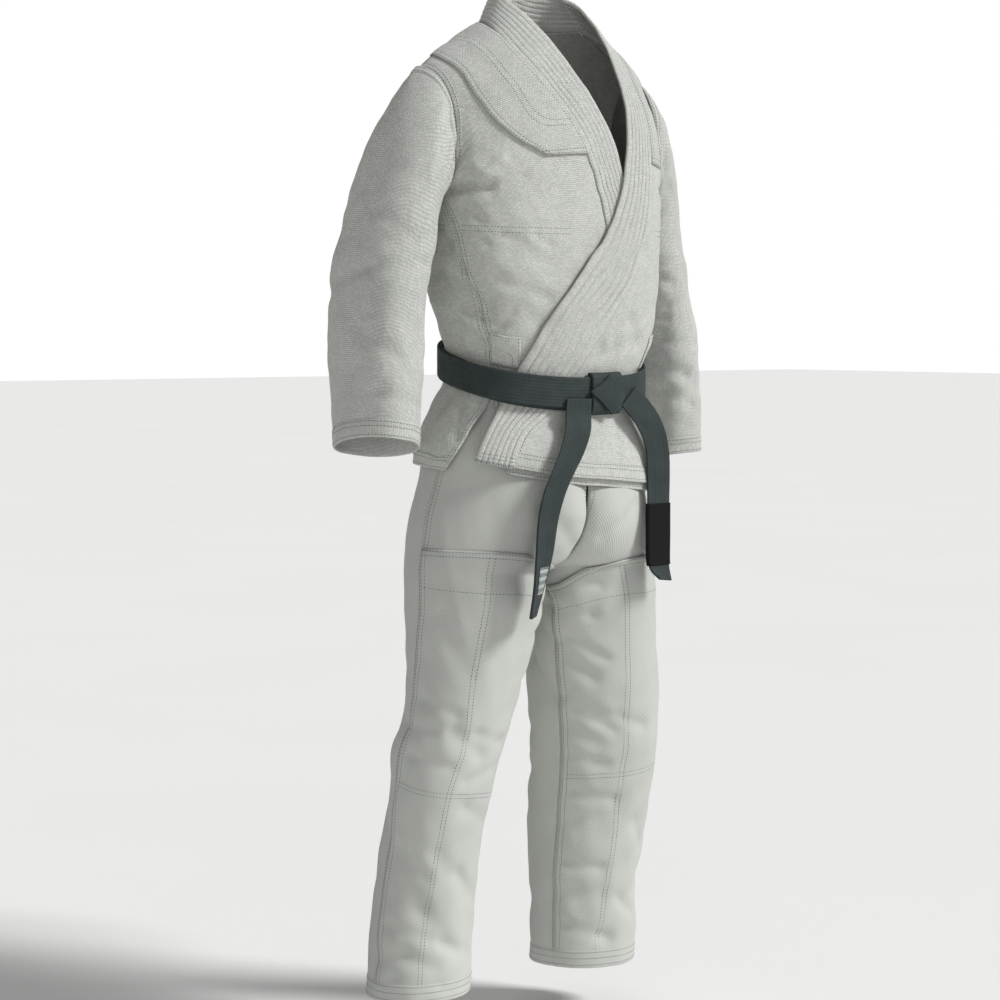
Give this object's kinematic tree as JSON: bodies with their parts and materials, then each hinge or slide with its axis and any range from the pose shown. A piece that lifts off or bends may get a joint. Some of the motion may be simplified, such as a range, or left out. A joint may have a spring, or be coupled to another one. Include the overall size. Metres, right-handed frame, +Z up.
{
  "type": "jiu-jitsu suit",
  "caption": "Worn jiu-jitsu suit: crossed cotton jacket with stitched lapel, trousers with knee patches and a dark tied belt.",
  "frame": {"origin": "between the shoulders at the nape, in the neck opening, where a wearer carries the suit", "axes": "-Y front, +X the wearer's left, +Z up; the suit stands upright as worn"},
  "size_m": [0.668, 0.3037, 1.4645],
  "materials": {
    "jacket_cotton": "pearl weave",
    "trouser_twill": "fine twill",
    "belt_cotton": "row-stitched belt",
    "bar_cotton": "plain weave",
    "tag_woven": "woven label"
  },
  "bodies": {
    "root": {"jacket_back": "jacket_cotton", "jacket_front_right": "jacket_cotton", "jacket_front_left": "jacket_cotton", "sleeve_right": "jacket_cotton", "sleeve_left": "jacket_cotton", "collar": "jacket_cotton", "shoulder_yoke": "jacket_cotton", "vent_patch_right": "jacket_cotton", "vent_patch_left": "jacket_cotton", "trouser_front_right": "trouser_twill", "trouser_front_left": "trouser_twill", "trouser_back_right": "trouser_twill", "trouser_back_left": "trouser_twill", "knee_patch_right": "trouser_twill", "knee_patch_left": "trouser_twill", "waistband": "trouser_twill", "belt_wrap_under": "belt_cotton", "belt_wrap_over": "belt_cotton", "belt_knot_wrap": "belt_cotton", "belt_knot_flap": "belt_cotton", "belt_tail_right": "belt_cotton", "belt_tail_left": "belt_cotton", "rank_bar": "bar_cotton", "belt_tag": "tag_woven"}
  },
  "joints": []
}
